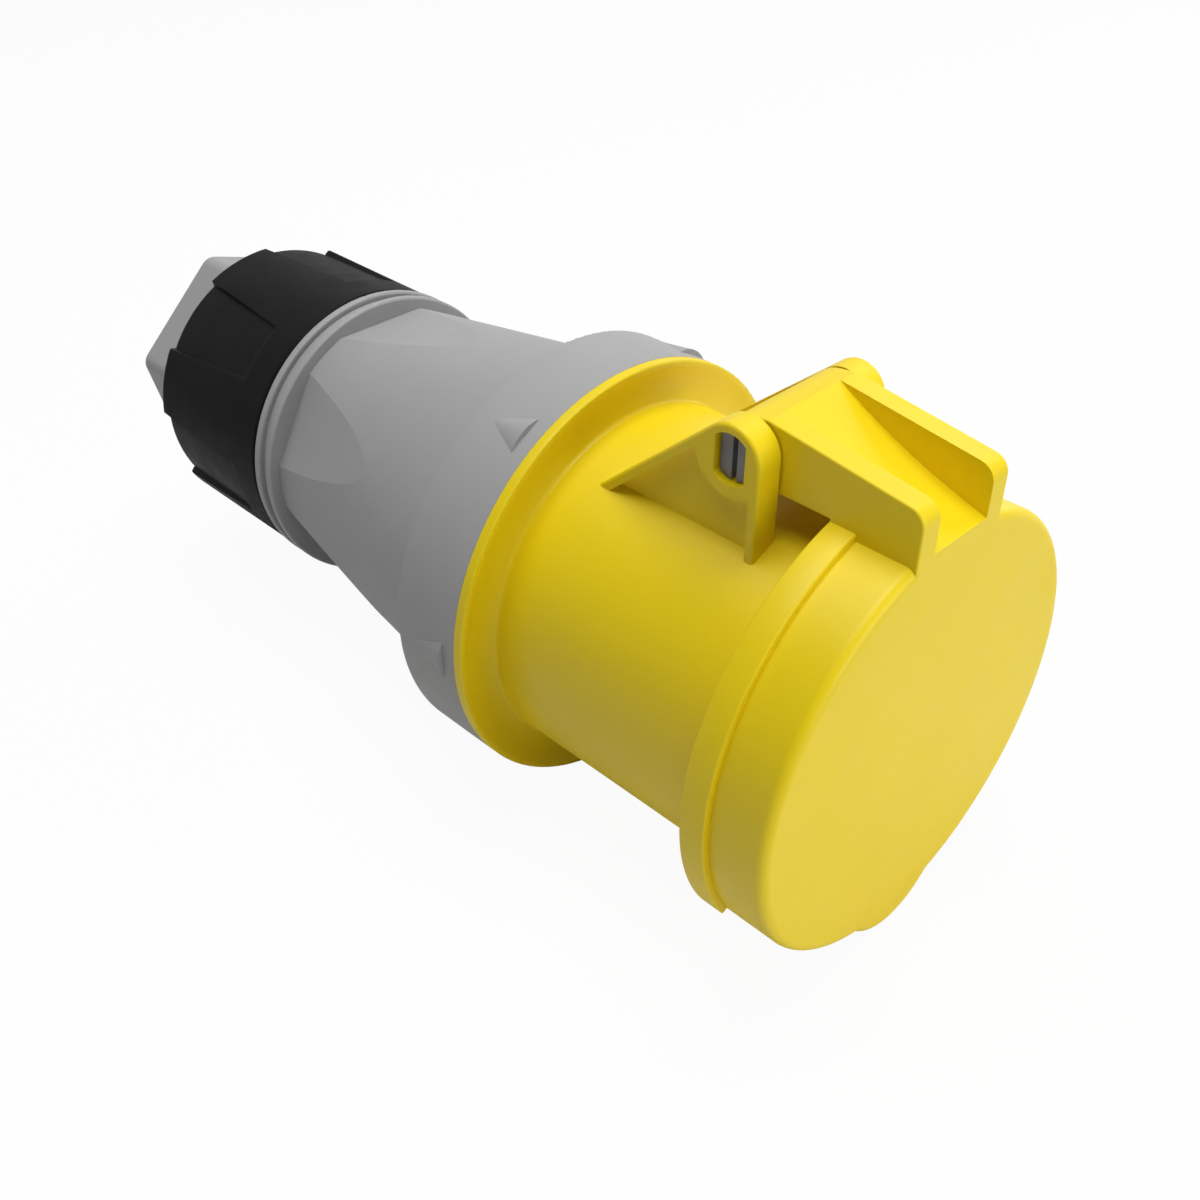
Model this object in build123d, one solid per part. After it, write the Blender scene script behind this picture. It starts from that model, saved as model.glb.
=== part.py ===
from build123d import *
from math import cos, radians, sin, sqrt
import os

# Frame: X is the coupler's axis, positive towards the lid, Z points up to the hinge.
# The origin is on the axis, in the plane of the front flange's rim. Millimetres.

# Front housing: flange, sleeve and the spigot that plugs into the rear housing
flange_r = 55.5
flange_t = 3.0
flange_land = 1.4
flange_dish = 0.9
flange_crown = 0.4
edge_r = 0.6
flange_w = 10.3
sleeve_wall = 3.4
sleeve_root_r = 1.2
mouth_x = 80.0
mouth_edge = 0.8
bulkhead_x = 8.0
bulkhead_t = 4.0
spigot_wall = 3.6
spigot_len = 14.0
spigot_gap = 0.5
seal_wire_r = 1.2
seal_groove_gap = 0.15
seal_shift = 1.0
key_w = 16.0
key_h = 2.4
key_corner_r = 1.5
key_slot_w = 9.0
key_slot_depth = 3.6
key_slot_start = 2.1

# Lid: disc and skirt over the sleeve's mouth, a raised band, and a hump over the key at the bottom
skirt_gap = 6.0
skirt_len = 20.8
lid_t = 3.3
lid_wall = 2.4
lid_edge_r = 2.4
band_w = 6.5
band_drop = 0.3
band_arc = 244.0
band_edge_r = 0.5
hump_r = 18.6
hump_drop = 4.4
hump_blend_r = 3.0
gasket_w = 7.0
gasket_t = 3.9

# Hinge: ears on the sleeve, pin through them, arm of the lid between them
pin_x = 46.5
pin_rise = 7.9
pin_r = 3.0
boss_r = 7.8
far_boss_r = 6.9
ear_edge_r = 0.9
ear_t = 6.5
ear_rear_x = 10.0
ear_border = 2.3
ear_recess = 2.5
pin_head_r = 5.5
pin_head_flat = 3.7
pin_head_t = 2.2
pin_head_depth = 1.8
pin_slot_w = 1.3
arm_w = 29.0
arm_root_h = 7.25
nose_r = 6.9
nose_run = 3.5
nose_rise = 7.45
arm_gap = 0.5
arm_edge_r = 0.5
rib_t = 5.5
rib_rise = 10.3
floor_sag = 1.6
floor_lead = 0.3
floor_drop = 0.9
arm_corner_r = 4.0
arm_plate_t = 2.6
spring_wire_r = 0.8
spring_turns = 8
spring_gap = 0.25
coil_room_r = 5.4

# Contact carrier and contacts
socket_gap = 6.8
carrier_inset = 4.0
carrier_lip = 0.5
carrier_flange_t = 5.0
carrier_edge_r = 1.5
core_r = 6.0
line_pin_r = 4.0
earth_pin_r = 5.0
pilot_pin_r = 3.0
contact_wall = 2.4
contact_inset = 7.0
contact_edge = 0.8
contact_slot_w = 0.8
contact_slot_len = 40.0
bore_web = 4.0
shoulder_t = 4.0
shoulder_h = 1.6
lead_rise = 0.6
lead_draft = 0.3
lead_flare = 1.7
lead_flare_len = 2.0
seat_gap = 0.15
seat_end_gap = 0.5
plate_inset = 2.0
plate_t = 5.0
plate_edge_r = 1.0
plate_gap = 0.2
terminal_len = 20.0
terminal_step = 0.6
terminal_wall = 2.6
terminal_web = 2.0
pilot_depth = 26.0
pilot_web = 3.0
grub_r = 2.5
pilot_grub_r = 1.5
grub_start = 1.4
grub_proud = 3.0
grub_shift = 2.0
grub_slot_w = 0.9
grub_slot_depth = 1.2

# Small pan-head screws
screw_r = 1.4
screw_head_r = 2.8
screw_head_t = 2.4
screw_head_edge = 0.9
screw_slot_w = 0.8
screw_slot_depth = 1.2
screw_slot_len = 3.4
screw_floor = 0.5
plate_screw_bite = 8.0
plate_screw_out = 4.0

# Rear housing: ring over the spigot, cone, and a neck with two rims
ring_wall = 5.4
ring_end_x = -22.8
ring_gap = 0.3
ring_edge_r = 0.8
ring_step = 6.8
neck_r = 38.3
rim_x = -95.5
rim_h = 3.1
rim_w = 2.2
rim_groove_w = 3.0
rim_groove_h = 1.4
housing_wall = 3.2
spigot_room = 1.5
scoop_count = 6
scoop_depth = 2.4
scoop_tip_x = -55.5
scoop_over = 6.0
bump_count = 6
bump_face_x = -6.5
bump_len = 13.0
bump_w = 10.0
bump_h = 1.3
bump_tip_r = 0.6
bump_tip_depth = 1.0
thread_step = 3.8
thread_len = 25.0
thread_wall = 4.2
seat_rise = 2.0
seat_flare = 2.0
seat_t = 3.0
seal_w = 18.0
seal_inset = 1.8
seal_grooves = (3.4, 7.6)
seal_groove_w = 1.4
seal_groove_depth = 5.0

# Gland: nut, thrust ring, clamping sleeve and the cable's way through them
nut_step = 0.4
nut_len = 47.7
nut_gap = 0.4
nut_thread_gap = 0.35
nut_wall_t = 4.5
nut_edge_r = 0.8
panel_count = 6
panel_angle = 27.0
panel_first = 102.5
scallop_front = 11.0
scallop_start = 0.7
scallop_depth = 2.2
cable_wall = 12.3
tube_wall = 6.0
hex_step = 1.5
hex_corner_r = 4.4
hex_edge_r = 1.2
hex_len = 18.0
hex_angle = 103.0
slit_len = 12.0
slit_w = 1.6

# Working clearances, and how far a cutter runs past what it cuts
fit_gap = 0.3
pin_gap = 0.05
slide_gap = 0.4
screw_gap = 0.1
past = 1.0

# Places worked out from the sizes above
sleeve_r = flange_r - flange_w
sleeve_bore_r = sleeve_r - sleeve_wall
lid_r = sleeve_r + skirt_gap + lid_wall
lid_bore_r = lid_r - lid_wall
lid_in_x = mouth_x + fit_gap + gasket_t
lid_x = lid_in_x + lid_t
lid_rear_x = lid_x - skirt_len
band_r = flange_r - band_drop
hump_z = hump_r - lid_r - hump_drop
pin_z = lid_r + pin_rise
rib_z = lid_r + rib_rise
ear_in = arm_w / 2 + arm_gap
ear_out = ear_in + ear_t
arm_in = arm_w / 2 - rib_t
ring_r = flange_r
ring_bore_r = ring_r - ring_wall
spigot_r = ring_bore_r - spigot_gap
spigot_end = -flange_t - spigot_len
bulkhead_front = bulkhead_x + bulkhead_t
carrier_r = sleeve_bore_r - socket_gap
carrier_flange_r = sleeve_bore_r + carrier_lip
pitch_r = (carrier_r + core_r) / 2
carrier_x = mouth_x - carrier_inset
carrier_rear = bulkhead_x - carrier_flange_t
carrier_screw_r = (carrier_r + carrier_flange_r) / 2
contact_x = carrier_x - contact_inset
pilot_x = carrier_x - pilot_depth
plate_front = carrier_rear - shoulder_t
plate_rear = plate_front - plate_t
plate_r = carrier_r - plate_inset
plate_screw_at = pitch_r + plate_screw_out
terminal_end = plate_front - terminal_len
cone_r = ring_r - ring_step
rim_r = neck_r + rim_h
rim_groove_r = neck_r + rim_groove_h
rim_rear_x = rim_x - 2 * rim_w - rim_groove_w
thread_r = neck_r - thread_step
thread_end = rim_rear_x - thread_len
neck_bore_r = thread_r - thread_wall
cable_r = neck_bore_r - cable_wall
tube_r = cable_r + tube_wall
seat_r = tube_r + seat_rise
seal_rear = thread_end + seal_inset
seal_front = seal_rear + seal_w
nut_r = rim_r - nut_step
nut_front = rim_rear_x - nut_gap
nut_rear = nut_front - nut_len
nut_bore_r = thread_r + nut_thread_gap
nut_seat_x = nut_rear + nut_wall_t
hex_front = nut_rear - fit_gap
hex_r = neck_r - hex_step
earth_angle = -30.0
line_angles = (90.0, 210.0)
carrier_screw_angles = (30.0, 150.0, 270.0)
plate_screw_angles = (30.0, 150.0)


def along_x(x0, x1, r):
    """Round bar on the axis from x0 to x1."""
    return Pos(x0, 0, 0) * Rot(0, 90, 0) * Cylinder(r, x1 - x0, align=(Align.CENTER, Align.CENTER, Align.MIN))


def turned(points, arc=360.0):
    """Solid of revolution about the axis, from (x, radius) points."""
    return revolve(make_face(Polyline(*points, close=True)), Axis.X, arc)


def across(sketch, y0, y1):
    """Side-view sketch, drawn in x and z, carried from y0 to y1."""
    return extrude(Plane.XZ.offset(-y1) * sketch, amount=y1 - y0)


def polar(solid, count, first=0.0):
    """Copies of a solid, evenly spaced about the axis."""
    return [Rot(first + k * 360.0 / count, 0, 0) * solid for k in range(count)]


def at(r, angle, solid):
    """Puts a solid that lies on the axis at a radius and an angle, 0 along +Y and 90 up."""
    return Pos(0, r * cos(radians(angle)), r * sin(radians(angle))) * solid


def circles(solid, r):
    """The round edges of a solid that have this radius, from the rear to the front."""
    edges = solid.edges().filter_by(GeomType.CIRCLE)
    return edges.filter_by(lambda e: abs(e.radius - r) < pin_gap).sort_by(Axis.X)


def double_d(r, flat):
    """Round outline with two upright flats, in x and z at the hinge pin."""
    return Pos(pin_x, pin_z) * (Circle(r) & Rectangle(2 * flat, 4 * r))


def cone_radius(x):
    """Outer radius of the rear housing's cone at a station."""
    share = (ring_end_x - x) / (ring_end_x - rim_x)
    return cone_r + (neck_r - cone_r) * share


def ear(outer_r, headed):
    """One hinge ear: a gusset with a raised border round a sunk web, and a boss over the pin."""
    foot_z = sleeve_bore_r - ear_t
    heel_z = sqrt(sleeve_r ** 2 - ear_out ** 2)
    boss = Pos(pin_x, pin_z) * Circle(outer_r)
    outline = make_hull(
        [
            *boss.edges(),
            Line((ear_rear_x, heel_z), (ear_rear_x, foot_z)),
            Line((ear_rear_x, foot_z), (pin_x + boss_r, foot_z)),
        ]
    )
    plate = across(outline, ear_in, ear_out)
    plate = fillet(plate.edges().filter_by(Plane.XZ).group_by(Axis.Y)[-1], ear_edge_r)
    web = offset(outline, -ear_border, kind=Kind.INTERSECTION)
    web -= Pos(pin_x, pin_z) * Circle(outer_r + ear_edge_r)
    plate -= across(web, ear_out - ear_recess, ear_out + past) - along_x(0, mouth_x, sleeve_r)
    plate -= across(Pos(pin_x, pin_z) * Circle(pin_r), ear_in - past, ear_out + past)
    if headed:
        pocket = double_d(pin_head_r + fit_gap, pin_head_flat + fit_gap)
        plate -= across(pocket, ear_out - pin_head_depth - pin_head_t - fit_gap, ear_out + past)
    return plate


def front_housing():
    """Yellow front half: dished flange, sleeve, bulkhead, spigot, key rib and hinge ears."""
    land = (0, flange_r - flange_land)
    crown = (flange_crown, sleeve_r)
    profile = Polyline(
        crown, (mouth_x - mouth_edge, sleeve_r), (mouth_x, sleeve_r - mouth_edge), (mouth_x, 0),
        (spigot_end, 0), (spigot_end, spigot_r), (-flange_t, spigot_r), (-flange_t, flange_r),
        (0, flange_r), land,
    )
    dish = ThreePointArc(land, (-flange_dish, (land[1] + crown[1]) / 2), crown)
    body = revolve(make_face([profile, dish]), Axis.X)
    body = fillet(circles(body, sleeve_r)[0], sleeve_root_r)
    body = fillet(circles(body, flange_r), edge_r)
    key = Pos(0, -sleeve_r) * RectangleRounded(key_w, 2 * key_h, key_corner_r)
    key = Plane.YZ.offset(bulkhead_front) * key
    body += extrude(key, amount=mouth_x - mouth_edge - bulkhead_front)
    body += ear(far_boss_r, False)
    body += mirror(ear(boss_r, True), Plane.XZ)
    body -= along_x(bulkhead_front, mouth_x + past, sleeve_bore_r)
    body -= along_x(spigot_end - past, bulkhead_front + past, carrier_r + fit_gap)
    body -= along_x(spigot_end - past, bulkhead_x, carrier_flange_r + fit_gap)
    body -= along_x(spigot_end - past, -flange_t, spigot_r - spigot_wall)
    slot = Box(mouth_x, key_slot_w, 2 * key_slot_depth, align=(Align.MIN, Align.CENTER, Align.CENTER))
    body -= Pos(bulkhead_front + key_slot_start, 0, -sleeve_bore_r) * slot
    body -= seal_ring(seal_wire_r + seal_groove_gap)
    for angle in carrier_screw_angles:
        hole = along_x(bulkhead_x - past, bulkhead_front - screw_floor, screw_r + screw_gap)
        body -= at(carrier_screw_r, angle, hole)
    return body


def seal_ring(section_r=seal_wire_r):
    """Round-section ring that fills the gap between the spigot and the rear housing."""
    centre = Pos((spigot_end - flange_t) / 2 - seal_shift, ring_bore_r - seal_wire_r)
    return revolve(centre * Circle(section_r), Axis.X)


def hinge_pin():
    """Split pin: double-D head with a slot, and a round shank through both ears."""
    head_out = pin_head_depth - ear_out
    head = across(double_d(pin_head_r, pin_head_flat), head_out, head_out + pin_head_t)
    pin = head + across(Pos(pin_x, pin_z) * Circle(pin_r), head_out, ear_out - ear_edge_r)
    pin -= Pos(pin_x, head_out, pin_z) * Box(pin_slot_w, 1.5 * pin_head_t, 3 * pin_head_r)
    return pin


def arm_outline():
    """Side view of the lid's arm: round over the pin, sloping down to the lid's front face."""
    low = pin_z - boss_r
    nose = make_hull(
        [
            *(Pos(pin_x, pin_z) * Circle(nose_r)).edges(),
            Line((pin_x + nose_run, pin_z + nose_rise), (lid_x, rib_z)),
            Line((lid_x, rib_z), (lid_x, low)),
            Line((lid_x, low), (pin_x + nose_r, low)),
        ]
    )
    root = Polyline(
        (lid_rear_x, low + past), (lid_x, low + past), (lid_x, lid_bore_r - arm_root_h),
        (lid_rear_x, lid_bore_r - arm_root_h), close=True,
    )
    outline = nose + make_face(root)
    tip = outline.vertices().sort_by_distance((lid_x, rib_z))[0]
    return fillet(tip, arm_corner_r)


def floor_line(drop=0.0):
    """Concave floor of the channel between the arm's two ribs."""
    start = (pin_x + nose_run - floor_lead, pin_z + nose_rise - drop)
    end = (lid_x + fit_gap, lid_r - floor_drop - drop)
    middle = ((start[0] + end[0]) / 2, (start[1] + end[1]) / 2 - floor_sag)
    return start, middle, end


def arm_hollow():
    """Side view of the room under the arm's floor, with a round end for the spring's coil."""
    start, middle, end = floor_line(arm_plate_t)
    low = pin_z - 2 * boss_r
    room = make_face([
        ThreePointArc(start, middle, end),
        Polyline(
            end, (end[0], low), (pin_x - coil_room_r, low), (pin_x - coil_room_r, pin_z),
            (pin_x, pin_z), start,
        ),
    ])
    reach = Rectangle(lid_rear_x - pin_x + 2 * boss_r, 6 * boss_r)
    room = room & Pos((pin_x + lid_rear_x) / 2, pin_z) * reach
    return room + Pos(pin_x, pin_z) * Circle(coil_room_r)


def lid():
    """Yellow lid: disc, skirt with its raised band and hump, and the hinge arm with two ribs."""
    shell = lid_form(0, lid_rear_x, lid_x)
    shell = fillet(shell.faces().sort_by(Axis.X)[-1].edges(), lid_edge_r)
    band_end = lid_rear_x + band_w
    low_r = lid_r - lid_wall / 2
    section = [(lid_rear_x, low_r), (lid_rear_x, band_r), (band_end, band_r), (band_end, low_r)]
    band = turned(section, band_arc)
    shell += Rot((180 - band_arc) / 2, 0, 0) * fillet(circles(band, band_r), band_edge_r)
    arm = across(arm_outline(), -arm_w / 2, arm_w / 2)
    sides = arm.edges().filter_by(Plane.XZ).group_by(Axis.Y)
    shell += fillet(sides[0] + sides[-1], arm_edge_r)
    start, middle, end = floor_line()
    sky = pin_z + 3 * boss_r
    edge = Polyline(end, (end[0], sky), (start[0], sky), start)
    above = make_face([ThreePointArc(start, middle, end), edge])
    shell -= across(above, -arm_in, arm_in)
    shell -= lid_form(lid_wall, lid_rear_x - past, lid_in_x)
    shell -= across(arm_hollow(), -arm_in, arm_in)
    shell -= across(Pos(pin_x, pin_z) * Circle(pin_r + pin_gap), -arm_w, arm_w)
    return shell


def lid_form(inset, x0, x1):
    """Bar with the skirt's outline: round, with a round hump at the bottom and blended creases."""
    outline = Circle(lid_r - inset) + Pos(0, hump_z) * Circle(hump_r - inset)
    body = extrude(Plane.YZ.offset(x0) * outline, amount=x1 - x0)
    creases = body.edges().filter_by(Axis.X).filter_by(lambda e: e.center().Z < hump_z)
    return fillet(creases, hump_blend_r)


def lid_gasket():
    """Flat rubber ring that closes on the sleeve's mouth."""
    middle = (sleeve_r + sleeve_bore_r) / 2
    ring = along_x(mouth_x + fit_gap, lid_in_x, middle + gasket_w / 2)
    return ring - along_x(mouth_x, lid_x, middle - gasket_w / 2)


def terminal_r(pin_radius):
    """Outer radius of a contact's terminal."""
    return pin_radius + contact_wall + shoulder_h - terminal_step


def contact(pin_radius, front_x, bore_end, thread_hole_r):
    """Turned contact: slotted tube for the mating pin, shoulder, and a terminal for the wire."""
    tube_out = pin_radius + contact_wall
    shoulder_r = tube_out + shoulder_h
    term_r = terminal_r(pin_radius)
    body = turned(
        [
            (terminal_end, 0), (terminal_end, term_r), (plate_front, term_r), (plate_front, shoulder_r),
            (carrier_rear, shoulder_r), (carrier_rear, tube_out), (front_x, tube_out), (front_x, 0),
        ]
    )
    body = chamfer(circles(body, tube_out)[-1], contact_edge)
    body -= along_x(bore_end, front_x + past, pin_radius + pin_gap)
    body -= along_x(terminal_end - past, plate_rear - terminal_web, term_r - terminal_wall)
    slot = Box(contact_slot_len, contact_slot_w, 4 * tube_out, align=(Align.MAX, Align.CENTER, Align.CENTER))
    for turn in (0, 90):
        body -= Rot(turn, 0, 0) * Pos(front_x, 0, 0) * slot
    hole = Cylinder(thread_hole_r, 2 * term_r, align=(Align.CENTER, Align.CENTER, Align.MIN))
    return body - Pos(terminal_end + terminal_len / 2 - grub_shift, 0, 0) * hole


def line_contact():
    return contact(line_pin_r, contact_x, carrier_rear + bore_web, grub_r)


def earth_contact():
    return contact(earth_pin_r, contact_x, carrier_rear + bore_web, grub_r)


def pilot_contact():
    return contact(pilot_pin_r, pilot_x, plate_front - pilot_web, pilot_grub_r)


def terminal_screw(pin_radius, thread_hole_r):
    """Grub screw across a terminal, with a slot in its end."""
    r = thread_hole_r - screw_gap
    top = terminal_r(pin_radius) + grub_proud
    shank = Cylinder(r, top - grub_start, align=(Align.CENTER, Align.CENTER, Align.MIN))
    screw = Pos(0, 0, grub_start) * shank
    screw -= Pos(0, 0, top) * Box(4 * r, grub_slot_w, 2 * grub_slot_depth)
    return Pos(terminal_end + terminal_len / 2 - grub_shift, 0, 0) * screw


def contact_layout(line, earth, pilot):
    """Places the two line pieces, the earth piece and the pilot piece on their pitch circle."""
    placed = [at(pitch_r, angle, Rot(angle - 90, 0, 0) * line) for angle in line_angles]
    placed.append(at(pitch_r, earth_angle, Rot(earth_angle - 90, 0, 0) * earth))
    placed.append(Rot(180, 0, 0) * pilot)
    return placed


def contact_carrier():
    """Round insulating carrier with a stepped bore for each contact."""
    body = turned(
        [
            (carrier_rear, 0), (carrier_rear, carrier_flange_r), (bulkhead_x, carrier_flange_r),
            (bulkhead_x, carrier_r), (carrier_x, carrier_r), (carrier_x, 0),
        ]
    )
    body = fillet(circles(body, carrier_r)[-1], carrier_edge_r)
    holes = contact_layout(
        contact_hole(line_pin_r, contact_x),
        contact_hole(earth_pin_r, contact_x),
        contact_hole(pilot_pin_r, pilot_x),
    )
    for hole in holes:
        body -= hole
    for angle in carrier_screw_angles:
        body -= at(carrier_screw_r, angle, along_x(carrier_rear - past, bulkhead_x + past, screw_r + fit_gap))
    for angle in plate_screw_angles:
        hole_end = carrier_rear + plate_screw_bite + screw_floor
        hole = along_x(carrier_rear - past, hole_end, screw_r + screw_gap)
        body -= at(plate_screw_at, angle, hole)
    return body


def contact_hole(pin_radius, front_x):
    """Seat for a contact's tube, and a narrower drafted lead-in for the mating pin."""
    seat = along_x(carrier_rear - past, front_x + seat_end_gap, pin_radius + contact_wall + seat_gap)
    lead_r = pin_radius + lead_rise
    flare_x = carrier_x - lead_flare_len
    flare_r = lead_r + lead_draft + lead_flare
    lead = turned(
        [
            (front_x, 0), (front_x, lead_r), (flare_x, lead_r + lead_draft), (carrier_x, flare_r),
            (carrier_x + past, flare_r), (carrier_x + past, 0),
        ]
    )
    return seat + lead


def carrier_plate():
    """Rear plate that holds the contacts' shoulders against the carrier."""
    body = along_x(plate_rear, plate_front, plate_r)
    body = fillet(circles(body, plate_r)[0], plate_edge_r)
    radii = [terminal_r(r) + plate_gap for r in (line_pin_r, earth_pin_r, pilot_pin_r)]
    for hole in contact_layout(*[along_x(plate_rear - past, plate_front + past, r) for r in radii]):
        body -= hole
    for angle in plate_screw_angles:
        body -= at(plate_screw_at, angle, along_x(plate_rear - past, plate_front + past, screw_r + fit_gap))
    return body


def screw(head_x, length):
    """Pan-head screw along the axis, driven forwards from its head's rear face."""
    head = along_x(head_x - screw_head_t, head_x, screw_head_r)
    head = fillet(circles(head, screw_head_r)[0], screw_head_edge)
    body = head + along_x(head_x, head_x + length, screw_r)
    for turn in (0, 90):
        slot = Box(2 * screw_slot_depth, screw_slot_w, screw_slot_len)
        body -= Rot(turn, 0, 0) * Pos(head_x - screw_head_t, 0, 0) * slot
    return body


def carrier_screws():
    bite = bulkhead_t - screw_floor - fit_gap
    one = screw(carrier_rear, carrier_flange_t + bite)
    return [at(carrier_screw_r, angle, one) for angle in carrier_screw_angles]


def plate_screws():
    length = plate_t + shoulder_t + plate_screw_bite
    return [at(plate_screw_at, angle, screw(plate_rear, length)) for angle in plate_screw_angles]


def rear_housing():
    """Grey rear half: ring with grip wedges, cone with scooped flats, rimmed neck and thread."""
    groove_x = rim_x - rim_w
    wall_x = -flange_t - ring_gap
    body = turned(
        [
            (wall_x, 0), (wall_x, ring_r), (ring_end_x, ring_r), (ring_end_x, cone_r), (rim_x, neck_r),
            (rim_x, rim_r), (groove_x, rim_r), (groove_x, rim_groove_r),
            (groove_x - rim_groove_w, rim_groove_r), (groove_x - rim_groove_w, rim_r),
            (rim_rear_x, rim_r), (rim_rear_x, thread_r),
            (thread_end, thread_r), (thread_end, 0),
        ]
    )
    body = fillet(circles(body, rim_r), edge_r)
    body = fillet(circles(body, ring_r)[0], ring_edge_r)
    for wedge in polar(grip_wedge(), bump_count):
        body += wedge
    for cutter in polar(scoop(), scoop_count):
        body -= cutter
    inner_x = spigot_end - spigot_room
    neck_in = neck_r - scoop_depth - housing_wall
    seat_x = seal_front + seat_t
    body -= turned(
        [
            (wall_x + past, 0), (wall_x + past, ring_bore_r), (inner_x, ring_bore_r),
            (inner_x, cone_r - housing_wall), (ring_end_x, cone_r - housing_wall), (rim_x, neck_in),
            (seat_x, neck_in), (seat_x, seat_r + seat_flare), (seal_front, seat_r), (seal_front, neck_bore_r),
            (thread_end - past, neck_bore_r), (thread_end - past, 0),
        ]
    )
    return body


def grip_wedge():
    """Grip wedge on the ring: a low arched face at the front, running out into the ring behind."""
    rise = bump_h + ring_r - sqrt(ring_r ** 2 - (bump_w / 2) ** 2)
    face_r = ((bump_w / 2) ** 2 + rise ** 2) / (2 * rise)
    face = Plane.YZ.offset(bump_face_x) * Pos(ring_r + bump_h - face_r, 0) * Circle(face_r)
    tip = Plane.YZ.offset(bump_face_x - bump_len) * Pos(ring_r - bump_tip_depth, 0) * Circle(bump_tip_r)
    return loft([face, tip], ruled=True)


def scoop():
    """Cutter for one flat of the neck: deepest at the rim, running out up the cone."""
    low = neck_r - scoop_depth
    high = cone_radius(scoop_tip_x)
    slope = (high - low) / (scoop_tip_x - rim_x)
    end_x = scoop_tip_x + scoop_over
    outline = make_face(Polyline(
        (rim_x, low), (end_x, high + scoop_over * slope), (end_x, 2 * ring_r), (rim_x, 2 * ring_r),
        close=True,
    ))
    return across(outline, -ring_r, ring_r)


def gland_nut():
    """Black nut: six raised panels, scalloped between them towards the rear."""
    body = along_x(nut_rear, nut_front, nut_r)
    body = fillet(circles(body, nut_r), nut_edge_r)
    gap_angle = 360.0 / panel_count - panel_angle
    start_x = nut_front - scallop_front
    cut = turned(
        [
            (start_x, nut_r - scallop_start), (start_x, nut_r + past), (nut_rear - past, nut_r + past),
            (nut_rear - past, nut_r - scallop_depth),
        ],
        gap_angle,
    )
    for copy in polar(cut, panel_count, panel_first + panel_angle / 2):
        body -= copy
    body -= along_x(nut_seat_x, nut_front + past, nut_bore_r)
    body -= along_x(nut_rear - past, nut_front + past, tube_r + slide_gap)
    return body


def thrust_ring():
    """Ring snapped on the clamping sleeve, pushed forwards by the nut's rear wall."""
    ring = along_x(nut_seat_x + fit_gap, seal_rear - fit_gap, neck_bore_r - slide_gap)
    return ring - along_x(nut_seat_x, seal_rear, tube_r)


def clamping_sleeve():
    """Light grey clamping sleeve: hexagonal rear head and a tube that presses on the cable seal."""
    outline = Rot(0, 0, hex_angle) * fillet(RegularPolygon(hex_r, 6).vertices(), hex_corner_r)
    head = extrude(Plane.YZ.offset(hex_front - hex_len) * outline, amount=hex_len)
    head = fillet(head.faces().sort_by(Axis.X)[0].edges(), hex_edge_r)
    body = head + along_x(hex_front - past, seal_rear - fit_gap, tube_r)
    body -= along_x(hex_front - hex_len - past, seal_rear, cable_r)
    slit = Box(slit_len, slit_w, 2 * tube_r, align=(Align.MAX, Align.CENTER, Align.MIN))
    for cutter in polar(Pos(seal_rear, 0, 0) * slit, 4):
        body -= cutter
    return body


def cable_seal():
    """Rubber seal round the cable, with two relief grooves in its front face."""
    body = along_x(seal_rear, seal_front, neck_bore_r) - along_x(seal_rear - past, seal_front + past, cable_r)
    for out in seal_grooves:
        ring = along_x(seal_front - seal_groove_depth, seal_front + past, cable_r + out + seal_groove_w / 2)
        core = along_x(seal_rear, seal_front + 2 * past, cable_r + out - seal_groove_w / 2)
        body -= ring - core
    return body


def lid_spring():
    """Torsion spring's coil, round the pin and inside the arm's nose."""
    coil_r = coil_room_r - fit_gap - spring_wire_r
    pitch = 2 * spring_wire_r + spring_gap
    length = spring_turns * pitch
    path = Helix(pitch, length, coil_r)
    section = Plane(origin=path @ 0, z_dir=path % 0) * Circle(spring_wire_r)
    coil = sweep(section, path=path, is_frenet=True)
    return Pos(pin_x, length / 2, pin_z) * Rot(90, 0, 0) * coil


def nodes():
    """Every separate piece, by name."""
    line_1, line_2, earth, pilot = contact_layout(line_contact(), earth_contact(), pilot_contact())
    screws = contact_layout(
        terminal_screw(line_pin_r, grub_r),
        terminal_screw(earth_pin_r, grub_r),
        terminal_screw(pilot_pin_r, pilot_grub_r),
    )
    return {
        "front_housing": front_housing(),
        "hinge_pin": hinge_pin(),
        "lid": lid(),
        "lid_gasket": lid_gasket(),
        "lid_spring": lid_spring(),
        "contact_carrier": contact_carrier(),
        "carrier_plate": carrier_plate(),
        "line_contact_1": line_1,
        "line_contact_2": line_2,
        "earth_contact": earth,
        "pilot_contact": pilot,
        "terminal_screws": Compound(children=screws),
        "carrier_screws": Compound(children=carrier_screws()),
        "plate_screws": Compound(children=plate_screws()),
        "housing_seal": seal_ring(),
        "rear_housing": rear_housing(),
        "cable_seal": cable_seal(),
        "clamping_sleeve": clamping_sleeve(),
        "thrust_ring": thrust_ring(),
        "gland_nut": gland_nut(),
    }


os.makedirs("parts", exist_ok=True)
for name, solid in nodes().items():
    export_step(solid, f"parts/{name}.step")
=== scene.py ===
import math

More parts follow.
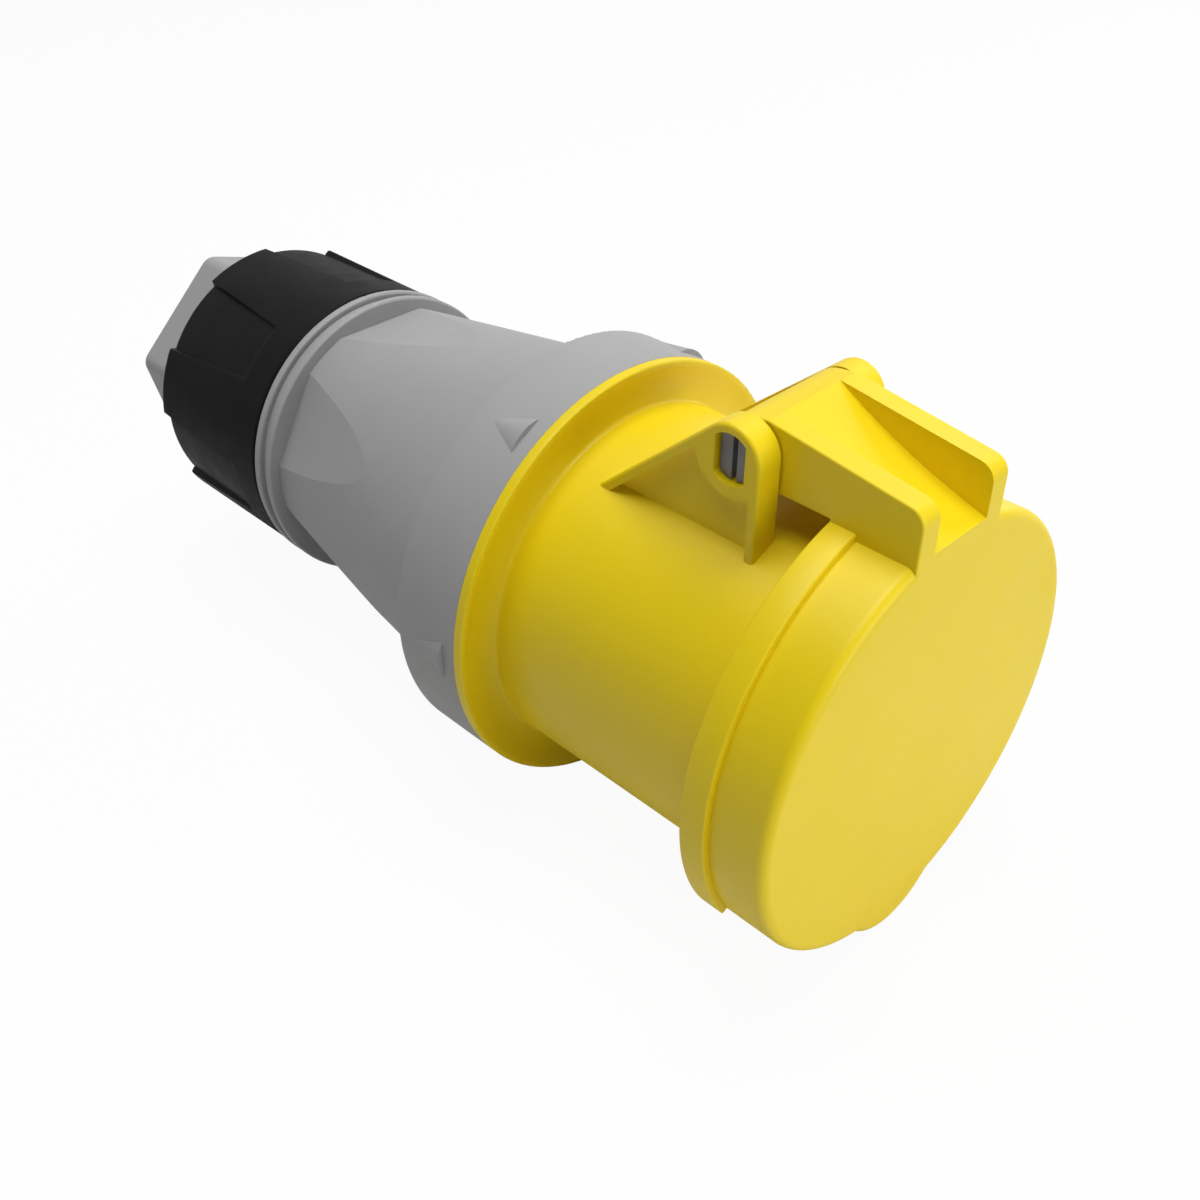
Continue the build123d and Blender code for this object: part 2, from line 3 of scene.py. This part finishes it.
import bpy
import numpy as np
from mathutils import Matrix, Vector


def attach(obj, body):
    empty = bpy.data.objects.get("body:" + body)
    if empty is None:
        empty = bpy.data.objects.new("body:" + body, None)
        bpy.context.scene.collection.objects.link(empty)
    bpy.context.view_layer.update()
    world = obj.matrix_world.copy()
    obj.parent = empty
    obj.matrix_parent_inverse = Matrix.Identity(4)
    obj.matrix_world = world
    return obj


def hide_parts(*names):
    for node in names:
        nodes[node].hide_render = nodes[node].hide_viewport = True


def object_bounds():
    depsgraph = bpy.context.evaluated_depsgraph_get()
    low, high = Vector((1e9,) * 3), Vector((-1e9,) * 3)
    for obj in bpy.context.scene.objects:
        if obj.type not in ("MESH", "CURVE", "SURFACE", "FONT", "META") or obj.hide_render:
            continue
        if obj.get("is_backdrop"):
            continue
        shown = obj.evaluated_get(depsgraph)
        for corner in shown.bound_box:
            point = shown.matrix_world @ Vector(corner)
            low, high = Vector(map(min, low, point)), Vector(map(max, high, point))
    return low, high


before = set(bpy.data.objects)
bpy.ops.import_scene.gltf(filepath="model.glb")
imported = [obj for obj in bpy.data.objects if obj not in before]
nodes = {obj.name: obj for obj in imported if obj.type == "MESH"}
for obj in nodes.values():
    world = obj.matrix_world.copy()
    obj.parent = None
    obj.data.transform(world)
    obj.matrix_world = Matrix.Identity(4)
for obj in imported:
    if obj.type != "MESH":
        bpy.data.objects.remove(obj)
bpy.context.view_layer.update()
print("frame loaded,", len(nodes), "nodes")

# Metres throughout. X is the coupler's axis towards the lid, Z points up to the hinge.


def emptyTree(owner, outputKind):
    # switches on the nodes of a material or a world, with only their output in them
    owner.use_nodes = True
    tree = owner.node_tree
    tree.nodes.clear()
    return tree, tree.nodes.new(outputKind)


def stretchedCoords(tree, stretch=(1.0, 1.0, 1.0)):
    # the piece's own coordinates, squeezed along an axis where a grain is drawn out
    coords = tree.nodes.new("ShaderNodeTexCoord")
    mapping = tree.nodes.new("ShaderNodeMapping")
    mapping.inputs["Scale"].default_value = stretch
    tree.links.new(coords.outputs["Object"], mapping.inputs["Vector"])
    return mapping.outputs["Vector"]


def noiseAt(tree, vector, look, kind):
    # noise whose lumps are about as large across as the look says for its kind
    noise = tree.nodes.new("ShaderNodeTexNoise")
    noise.inputs["Scale"].default_value = 1.0 / look[kind]
    noise.inputs["Detail"].default_value = look[kind + "Detail"]
    noise.inputs["Roughness"].default_value = look["noiseRough"]
    tree.links.new(vector, noise.inputs["Vector"])
    return noise.outputs["Fac"]


def spread(tree, value, look):
    # carries a noise to the range of the finish's roughness
    node = tree.nodes.new("ShaderNodeMapRange")
    node.inputs["From Min"].default_value, node.inputs["From Max"].default_value = look["noiseRange"]
    node.inputs["To Min"].default_value, node.inputs["To Max"].default_value = look["rough"]
    tree.links.new(value, node.inputs["Value"])
    return node.outputs["Result"]


def tint(tree, value, look):
    # the colour, a little darker to a little lighter with the noise
    ramp = tree.nodes.new("ShaderNodeValToRGB")
    ends = ramp.color_ramp.elements
    ends[0].position, ends[1].position = look["noiseRange"]
    ends[0].color = [c * (1 - look["change"]) for c in look["colour"]] + [1]
    ends[1].color = [min(1, c * (1 + look["change"])) for c in look["colour"]] + [1]
    tree.links.new(value, ramp.inputs["Fac"])
    return ramp.outputs["Color"]


def grainBump(tree, height, depth):
    # fine relief of the mould's or the tool's surface, depth in metres
    bump = tree.nodes.new("ShaderNodeBump")
    bump.inputs["Strength"].default_value = 1.0
    bump.inputs["Distance"].default_value = depth
    tree.links.new(height, bump.inputs["Height"])
    return bump.outputs["Normal"]


def finishOf(name, look):
    # colour cloud, roughness patches and grain, each from the piece's own coordinates
    material = bpy.data.materials.new(name)
    tree, output = emptyTree(material, "ShaderNodeOutputMaterial")
    shader = tree.nodes.new("ShaderNodeBsdfPrincipled")
    tree.links.new(shader.outputs["BSDF"], output.inputs["Surface"])
    plain = stretchedCoords(tree)
    drawn = stretchedCoords(tree, look["stretch"])
    cloud = noiseAt(tree, plain, look, "cloud")
    grain = noiseAt(tree, drawn, look, "grain")
    patch = noiseAt(tree, drawn, look, "patch")
    tree.links.new(tint(tree, cloud, look), shader.inputs["Base Color"])
    tree.links.new(spread(tree, patch, look), shader.inputs["Roughness"])
    tree.links.new(grainBump(tree, grain, look["depth"]), shader.inputs["Normal"])
    shader.inputs["Metallic"].default_value = look["metal"]
    shader.inputs["Specular IOR Level"].default_value = look["gloss"]
    return material


# What a finish has unless its own lines say otherwise; noiseRange is where a noise's values lie
sharedLook = dict(gloss=0.5, metal=0.0, stretch=(1.0, 1.0, 1.0), cloudDetail=2.0, patchDetail=3.0,
                  grainDetail=4.0, noiseRough=0.55, noiseRange=(0.3, 0.7))
finishLooks = {
    "yellow_plastic": dict(colour=(0.82, 0.62, 0.004), change=0.012, gloss=0.3, cloud=0.03, patch=0.012,
                           rough=(0.36, 0.44), grain=0.0006, depth=0.00002),
    "grey_plastic": dict(colour=(0.345, 0.345, 0.345), change=0.02, gloss=0.3, cloud=0.025, patch=0.01,
                         rough=(0.48, 0.58), grain=0.0005, depth=0.00003),
    "black_plastic": dict(colour=(0.0045, 0.0045, 0.0047), change=0.08, gloss=0.06, cloud=0.02, patch=0.008,
                          rough=(0.42, 0.52), grain=0.0006, depth=0.00003),
    "light_grey_plastic": dict(colour=(0.34, 0.34, 0.34), change=0.02, gloss=0.3, cloud=0.02, patch=0.01,
                               rough=(0.46, 0.56), grain=0.0005, depth=0.00003),
    "insulating_plastic": dict(colour=(0.05, 0.05, 0.055), change=0.06, cloud=0.015, patch=0.006,
                               rough=(0.38, 0.48), grain=0.0005, depth=0.00002),
    "black_rubber": dict(colour=(0.015, 0.015, 0.015), change=0.1, cloud=0.01, patch=0.004,
                         rough=(0.66, 0.8), grain=0.0003, depth=0.00003),
    "contact_brass": dict(colour=(0.72, 0.56, 0.30), change=0.05, cloud=0.006, patch=0.002,
                          rough=(0.2, 0.3), grain=0.0004, depth=0.000008, metal=1.0,
                          stretch=(8.0, 1.0, 1.0)),
    "screw_steel": dict(colour=(0.62, 0.62, 0.63), change=0.05, cloud=0.003, patch=0.001,
                        rough=(0.26, 0.36), grain=0.0003, depth=0.000008, metal=1.0),
    "spring_steel": dict(colour=(0.5, 0.5, 0.5), change=0.05, cloud=0.003, patch=0.001,
                         rough=(0.28, 0.38), grain=0.0002, depth=0.000006, metal=1.0),
    "pin_plastic": dict(colour=(0.20, 0.20, 0.22), change=0.03, cloud=0.004, patch=0.002,
                        rough=(0.4, 0.5), grain=0.0005, depth=0.00002),
}
finishes = {name: finishOf(name, {**sharedLook, **look}) for name, look in finishLooks.items()}

nodeFinish = {
    "front_housing": "yellow_plastic",
    "lid": "yellow_plastic",
    "rear_housing": "grey_plastic",
    "gland_nut": "black_plastic",
    "clamping_sleeve": "light_grey_plastic",
    "thrust_ring": "light_grey_plastic",
    "contact_carrier": "insulating_plastic",
    "carrier_plate": "insulating_plastic",
    "hinge_pin": "pin_plastic",
    "lid_gasket": "black_rubber",
    "housing_seal": "black_rubber",
    "cable_seal": "black_rubber",
    "line_contact_1": "contact_brass",
    "line_contact_2": "contact_brass",
    "earth_contact": "contact_brass",
    "pilot_contact": "contact_brass",
    "terminal_screws": "screw_steel",
    "carrier_screws": "screw_steel",
    "plate_screws": "screw_steel",
    "lid_spring": "spring_steel",
}
for nodeName, finishName in nodeFinish.items():
    for place in nodes[nodeName].material_slots:
        place.material = finishes[finishName]
print("finishes set on the nodes")


def surfaceFromGrid(name, points, finishName, body, sharp=35, closed=True):
    # rows go round the section and columns round the axis; a bar that isn't closed has a flat cap at each end
    rows, columns = points.shape[:2]
    steps = columns if closed else columns - 1
    i, j = (grid.ravel() for grid in np.meshgrid(np.arange(rows), np.arange(steps), indexing="ij"))
    nextRow, nextColumn = (i + 1) % rows, (j + 1) % columns
    faces = np.stack([i * columns + j, i * columns + nextColumn,
                      nextRow * columns + nextColumn, nextRow * columns + j], 1).tolist()
    if not closed:
        cap = columns * np.arange(rows)
        faces += [cap.tolist(), (cap + columns - 1)[::-1].tolist()]
    mesh = bpy.data.meshes.new(name)
    mesh.from_pydata(points.reshape(-1, 3).tolist(), [], faces)
    mesh.polygons.foreach_set("use_smooth", np.ones(len(faces), dtype=bool))
    mesh.set_sharp_from_angle(angle=math.radians(sharp))
    mesh.materials.append(finishes[finishName])
    piece = bpy.data.objects.new(name, mesh)
    bpy.context.scene.collection.objects.link(piece)
    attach(piece, body)
    return piece


def roundAxis(place, radius, angle):
    # grid of points at a place along X, a radius from the axis and an angle from +Y towards +Z
    place, radius, angle = np.broadcast_arrays(place, radius, angle)
    return np.stack([place, radius * np.cos(angle), radius * np.sin(angle)], -1)


def wholeTurn(columns):
    # the angles of evenly spaced columns, once round the axis
    return np.linspace(0, 2 * math.pi, columns, endpoint=False)[None, :]


def ease(share):
    # smooth step from 0 to 1
    share = np.clip(share, 0, 1)
    return share * share * (3 - 2 * share)


def corner(place, radius, size, start, count=5):
    # quarter circle of a rounded edge, as (place, radius) rows, from a start angle in degrees
    turn = np.radians(np.linspace(start, start + 90, count))
    return np.stack([place + size * np.cos(turn), radius + size * np.sin(turn)], 1)


# Screw thread of the neck and the gland nut: the same helix on both, one pitch a turn.
# crest and foot are half widths and slack is the nut's extra, all in pitches.
thread = dict(pitch=0.004, depth=0.0015, crest=0.09, foot=0.37, slack=0.06)


def threadRise(place, angle, wider=0.0):
    # share of the thread's depth: a trapezoid along X that moves on by one pitch with each whole turn
    phase = place / thread["pitch"] - angle / (2 * math.pi)
    away = np.abs((phase + 0.5) % 1.0 - 0.5)
    foot = thread["foot"] + wider
    return np.clip((foot - away) / (thread["foot"] - thread["crest"]), 0, 1)


# Neck of the rear housing: the thread is a thin shell round it, sunk into its wall on the inside
neck = dict(radius=0.0345, skin=0.00005, sunk=0.0006, front=-0.1034, rear=-0.1276, fade=0.0022,
            rows=112, columns=168, sharp=60)


def addNeckThread(look):
    # the neck's radius plus the thread's rise, which fades out at both ends; the inside lies in the neck
    place = np.linspace(look["front"], look["rear"], look["rows"])[:, None]
    angle = wholeTurn(look["columns"])
    fade = ease((look["front"] - place) / look["fade"]) * ease((place - look["rear"]) / look["fade"])
    radius = look["radius"] + look["skin"] + thread["depth"] * threadRise(place, angle) * fade
    outside = roundAxis(place, radius, angle)
    inside = roundAxis(place[[-1, 0]], look["radius"] - look["sunk"], angle)
    shell = np.concatenate([outside, inside])
    surfaceFromGrid("neck_thread", shell, "grey_plastic", "housing", look["sharp"])


addNeckThread(neck)

# Gland nut: a smooth band in front, and six raised panels with sunk faces between them behind.
# firstPanel, narrow, wide and wallTurn are degrees round the axis.
nut = dict(front=-0.1033, rear=-0.151, radius=0.041, edge=0.0011, seat=-0.1465, holeR=0.0244, boreR=0.03485,
           panels=6, firstPanel=102.5, sunkFrom=-0.1143, sunkRise=0.0009, shallow=0.0008, deep=0.0018,
           narrow=12.0, wide=16.5, wallTurn=0.9, chamfer=0.0012, outerRows=96, boreRows=128,
           faceColumns=8, wallColumns=6, panelColumns=8)


def panelSpots(look):
    # signed place in one panel's sixth of the turn: -1..1 is the sunk face, 1..2 its wall, 2..3 half a panel
    face = np.linspace(0, 1, look["faceColumns"])
    wall = np.linspace(1, 2, look["wallColumns"])
    panel = np.linspace(2, 3, look["panelColumns"])
    half = np.concatenate([face[:-1], wall[:-1], panel])
    return np.concatenate([-half[:0:-1], half[:-1]])


def nutOutside(look, middles, spot):
    # the outer radius less the sunk faces' depth, which grows to the rear; each column keeps to its wall
    front, rear = look["front"] - look["edge"], look["rear"] + look["edge"]
    along = np.linspace(front, rear, look["outerRows"])
    outer = np.concatenate([
        corner(front, look["radius"] - look["edge"], look["edge"], 0)[:-1],
        np.stack([along, np.full_like(along, look["radius"])], 1),
        corner(rear, look["radius"] - look["edge"], look["edge"], 90)[1:],
    ])
    place, radius = outer[:, :1], outer[:, 1:]
    back = np.clip((look["sunkFrom"] - place) / (look["sunkFrom"] - look["rear"]), 0, 1)
    half = look["narrow"] + (look["wide"] - look["narrow"]) * back
    size = np.abs(spot)
    onFace = size * (half - look["wallTurn"])
    onWall = half - look["wallTurn"] * (2 - size)
    onPanel = half + (180 / look["panels"] - half) * (size - 2)
    turn = np.where(size < 1, onFace, np.where(size < 2, onWall, onPanel))
    depth = look["shallow"] + (look["deep"] - look["shallow"]) * back
    depth = depth * ease((look["sunkFrom"] - place) / look["sunkRise"]) * ease(2 - size)
    return roundAxis(place, radius - depth, np.radians(middles + np.sign(spot) * turn))


def nutInside(look, middles, spot):
    # hole, seat for the thrust ring, and a bore cut by the thread that opens into a chamfer in front
    spots = [0, 1, 2, 3]
    turns = [0, look["wide"] - look["wallTurn"], look["wide"], 180 / look["panels"]]
    angle = np.radians(middles + np.sign(spot) * np.interp(np.abs(spot), spots, turns))
    ring = [(look["rear"], look["holeR"]), (look["seat"], look["holeR"]), (look["seat"], look["boreR"])]
    place = np.linspace(look["seat"] + look["edge"], look["front"], look["boreRows"])[:, None]
    cut = thread["depth"] * threadRise(place, angle, thread["slack"])
    cut = cut * ease((place - look["seat"] - look["edge"]) / look["edge"])
    flare = np.clip((place - look["front"] + look["chamfer"]) / look["chamfer"], 0, 1)
    bore = look["boreR"] + np.maximum(cut, look["chamfer"] * flare)
    return [*(roundAxis(x, r, angle) for x, r in ring), roundAxis(place, bore, angle)]


def addGlandNut(look):
    # one closed section, outside and inside, carried round the six panels
    sixth = 360 / look["panels"]
    onePanel = panelSpots(look)
    spot = np.tile(onePanel, look["panels"])[None, :]
    panel = np.repeat(np.arange(look["panels"]), len(onePanel))[None, :]
    middles = look["firstPanel"] + sixth / 2 + sixth * panel
    shell = np.concatenate([nutOutside(look, middles, spot), *nutInside(look, middles, spot)])
    piece = surfaceFromGrid("gland_nut_body", shell, "black_plastic", "nut")
    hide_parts("gland_nut")


addGlandNut(nut)
print("thread and gland nut made")

# Lid gasket: a flat rubber ring with two round beads on the face that meets the sleeve
gasket = dict(rear=0.0803, front=0.0842, inR=0.04, outR=0.047, flat=0.0009, beads=(0.0418, 0.0452),
              beadHalf=0.0007, rows=48, columns=144)


def addLidGasket(look):
    # place of the face over the radius: flat, with a half-round bead at each of two radii
    radius = np.linspace(look["inR"], look["outR"], look["rows"])
    face = np.full_like(radius, look["rear"] + look["flat"])
    for bead in look["beads"]:
        share = np.clip(1 - ((radius - bead) / look["beadHalf"]) ** 2, 0, 1)
        face = np.minimum(face, look["rear"] + look["flat"] * (1 - np.sqrt(share)))
    section = np.concatenate([np.stack([face, radius], 1),
                              [[look["front"], look["outR"]], [look["front"], look["inR"]]]])
    points = roundAxis(section[:, :1], section[:, 1:], wholeTurn(look["columns"]))
    piece = surfaceFromGrid("lid_gasket_ring", points[::-1], "black_rubber", "lid")
    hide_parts("lid_gasket")


addLidGasket(gasket)
print("gasket made")

# Raised band round the lid's skirt, one bar on each side of the arm, with its outer edges rounded.
# start, end and armHalf are degrees round the axis.
band = dict(rear=0.06668, front=0.07322, radius=0.05524, inner=0.0530, edge=0.0005, start=-32.0, end=212.0,
            armHalf=12.5, columns=140)


def addLidBand(look):
    # section of the band carried round the axis from one end of each bar to the other
    section = np.concatenate([
        [[look["front"], look["inner"]]],
        corner(look["front"] - look["edge"], look["radius"] - look["edge"], look["edge"], 0),
        corner(look["rear"] + look["edge"], look["radius"] - look["edge"], look["edge"], 90),
        [[look["rear"], look["inner"]]],
    ])
    arcs = dict(near=(90 + look["armHalf"], look["end"]), far=(look["start"], 90 - look["armHalf"]))
    for side, (first, last) in arcs.items():
        angle = np.radians(np.linspace(first, last, look["columns"]))[None, :]
        points = roundAxis(section[:, :1], section[:, 1:], angle)
        surfaceFromGrid("lid_band_" + side, points, "yellow_plastic", "lid", closed=False)


addLidBand(band)

# Lip on the rear housing's ring, which closes the joint and follows the flange's rounded edge.
# edgeFrom is the angle in the section, in degrees, where the lip leaves that edge.
lip = dict(rear=-0.00334, inner=0.0503, outer=0.05549, edgeAt=(-0.0024, 0.0549), edge=0.000605,
           edgeFrom=102.0, edgeRows=7, columns=300)


def addJointLip(look):
    # section: hollow quarter round against the flange's edge, flat on the ring's side
    turn = np.radians(np.linspace(180.0, look["edgeFrom"], look["edgeRows"]))
    place, radius = look["edgeAt"]
    section = np.concatenate([
        [[place - look["edge"], look["inner"]]],
        np.stack([place + look["edge"] * np.cos(turn), radius + look["edge"] * np.sin(turn)], 1),
        [[look["rear"], look["outer"]], [look["rear"], look["inner"]]],
    ])
    points = roundAxis(section[:, :1], section[:, 1:], wholeTurn(look["columns"]))
    surfaceFromGrid("ring_lip", points, "grey_plastic", "housing")


addJointLip(lip)
print("band and lip made")

# Camera: its place, its turn from the side view, its height above level and its roll, in degrees
camera = dict(place=(0.195889828, -0.208188028, 0.203422209), turn=44.7735, height=36.5832,
              roll=-0.1404, lens=42.0, sensor=36.0, shift=(0.00042, 0.0005), near=0.01)


def placeByAxes(name, data, right, up, back, place):
    # sets a camera or a lamp at its place, looking against its back axis
    thing = bpy.data.objects.new(name, data)
    rows = np.eye(4)
    rows[:3] = np.stack([right, up, back, place], 1)
    thing.matrix_world = Matrix(rows.tolist())
    bpy.context.scene.collection.objects.link(thing)
    return thing


def addCamera(look):
    # the level axes of the turned and raised camera, then rolled about its line of sight
    turn, height, roll = (math.radians(look[key]) for key in ("turn", "height", "roll"))
    right = np.array([math.cos(turn), math.sin(turn), 0])
    up = np.array([-math.sin(turn) * math.sin(height), math.cos(turn) * math.sin(height), math.cos(height)])
    back = np.array([math.sin(turn) * math.cos(height), -math.cos(turn) * math.cos(height), math.sin(height)])
    rolledRight = math.cos(roll) * right - math.sin(roll) * up
    rolledUp = math.sin(roll) * right + math.cos(roll) * up
    data = bpy.data.cameras.new("camera")
    data.lens = look["lens"]
    data.sensor_width = look["sensor"]
    data.shift_x, data.shift_y = look["shift"]
    data.clip_start = look["near"]
    bpy.context.scene.camera = placeByAxes("camera", data, rolledRight, rolledUp, back, look["place"])


addCamera(camera)

# World, floor and lamps; the camera sees the first two as white, and that white lights nothing
studio = dict(white=(1.0, 1.0, 1.0, 1.0), whiteStrength=1.0, worldLight=0.04, floorSize=6.0,
              floorColour=(0.8, 0.8, 0.8, 1.0), floorGap=0.0001, floorWhite=0.95,
              lamps=[dict(name="topLamp", place=(-0.02, -0.02, 1.0), size=0.78, watts=10.3),
                     dict(name="sideLamp", place=(0.97, 0.13, 0.21), size=0.65, watts=5.1),
                     dict(name="farLamp", place=(0.0, 0.9, 0.45), size=0.7, watts=3.0)])


def plainLight(tree, kind, colour, strength):
    # a background or an emission of one colour
    node = tree.nodes.new(kind)
    node.inputs["Color"].default_value = colour
    node.inputs["Strength"].default_value = strength
    return node.outputs[0]


def mixTo(tree, output, share, first, second):
    # the second shader where the share is 1, the first where it is 0
    mix = tree.nodes.new("ShaderNodeMixShader")
    tree.links.new(share, mix.inputs["Fac"])
    tree.links.new(first, mix.inputs[1])
    tree.links.new(second, mix.inputs[2])
    tree.links.new(mix.outputs["Shader"], output.inputs["Surface"])


def mathNode(tree, operation, first):
    # an arithmetic node with its first input joined up
    node = tree.nodes.new("ShaderNodeMath")
    node.operation = operation
    tree.links.new(first, node.inputs[0])
    return node


def addWorld(look):
    # soft light all round; camera, glossy and transmitted rays see plain white instead
    world = bpy.data.worlds.new("studio")
    bpy.context.scene.world = world
    tree, output = emptyTree(world, "ShaderNodeOutputWorld")
    soft = plainLight(tree, "ShaderNodeBackground", look["white"], look["worldLight"])
    white = plainLight(tree, "ShaderNodeBackground", look["white"], look["whiteStrength"])
    path = tree.nodes.new("ShaderNodeLightPath")
    seen = path.outputs["Is Camera Ray"]
    for ray in ("Is Glossy Ray", "Is Transmission Ray"):
        larger = mathNode(tree, "MAXIMUM", seen)
        tree.links.new(path.outputs[ray], larger.inputs[1])
        seen = larger.outputs["Value"]
    mixTo(tree, output, seen, soft, white)


def addFloor(look):
    # a square sheet just under the lowest point: matt to the light, nearly white to the camera
    half = look["floorSize"] / 2
    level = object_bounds()[0][2] - look["floorGap"]
    mesh = bpy.data.meshes.new("floor")
    corners = [(-half, -half, level), (half, -half, level), (half, half, level), (-half, half, level)]
    mesh.from_pydata(corners, [], [(0, 1, 2, 3)])
    floor = bpy.data.objects.new("floor", mesh)
    bpy.context.scene.collection.objects.link(floor)
    material = bpy.data.materials.new("floor_white")
    tree, output = emptyTree(material, "ShaderNodeOutputMaterial")
    matt = tree.nodes.new("ShaderNodeBsdfDiffuse")
    matt.inputs["Color"].default_value = look["floorColour"]
    glow = plainLight(tree, "ShaderNodeEmission", look["white"], look["whiteStrength"])
    path = tree.nodes.new("ShaderNodeLightPath")
    share = mathNode(tree, "MULTIPLY", path.outputs["Is Camera Ray"])
    share.inputs[1].default_value = look["floorWhite"]
    mixTo(tree, output, share.outputs["Value"], matt.outputs["BSDF"], glow)
    mesh.materials.append(material)
    floor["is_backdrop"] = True


def addLamp(look):
    # a large soft square lamp that looks at the coupler's middle
    data = bpy.data.lights.new(look["name"], "AREA")
    data.shape = "SQUARE"
    data.size = look["size"]
    data.energy = look["watts"]
    away = np.array(look["place"]) / np.linalg.norm(look["place"])
    side = np.cross((0.0, 1.0, 0.0), away)
    side /= np.linalg.norm(side)
    placeByAxes(look["name"], data, side, np.cross(away, side), away, look["place"])


addWorld(studio)
addFloor(studio)
for lamp in studio["lamps"]:
    addLamp(lamp)
bpy.context.scene.view_settings.view_transform = "Standard"
print("camera and studio ready")
